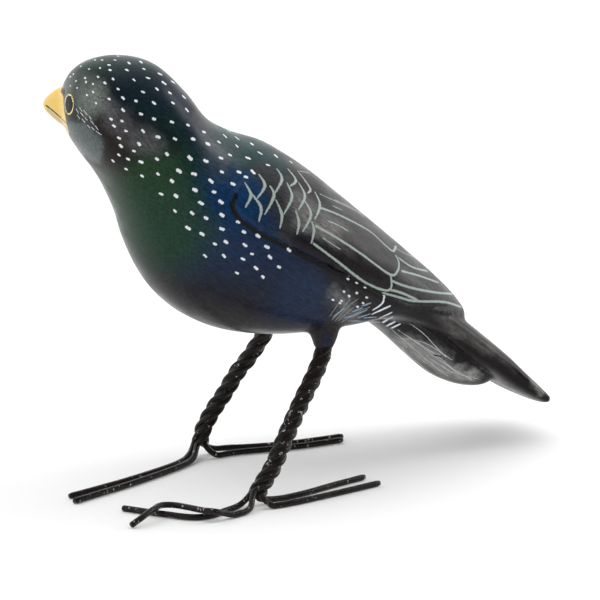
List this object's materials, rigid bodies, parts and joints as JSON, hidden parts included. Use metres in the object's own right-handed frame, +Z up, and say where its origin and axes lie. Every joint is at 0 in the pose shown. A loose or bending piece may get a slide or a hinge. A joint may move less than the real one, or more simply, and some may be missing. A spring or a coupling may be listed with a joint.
{
  "type": "starling figurine",
  "caption": "Decorative ceramic songbird on bent, twisted wire legs, head turned to its right, for standing on a shelf or table.",
  "frame": {"origin": "on the floor, under the middle of the whole figurine", "axes": "+Z up, -X the way the breast faces, -Y the bird's left side, +X towards the tail"},
  "size_m": [0.1252, 0.0584, 0.0993],
  "materials": {
    "glazed_body": "glossy varnish over hand painting",
    "black_wire": "gloss black, chipped"
  },
  "bodies": {
    "root": {"ceramic_body": "glazed_body", "left_leg_front_wire_over": "black_wire", "left_leg_front_wire_under": "black_wire", "left_leg_hind_wire_inner": "black_wire", "left_leg_hind_wire_outer": "black_wire", "right_leg_front_wire_inner": "black_wire", "right_leg_front_wire_outer": "black_wire", "right_leg_hind_wire_outer": "black_wire", "right_leg_hind_wire_inner": "black_wire"}
  },
  "joints": []
}
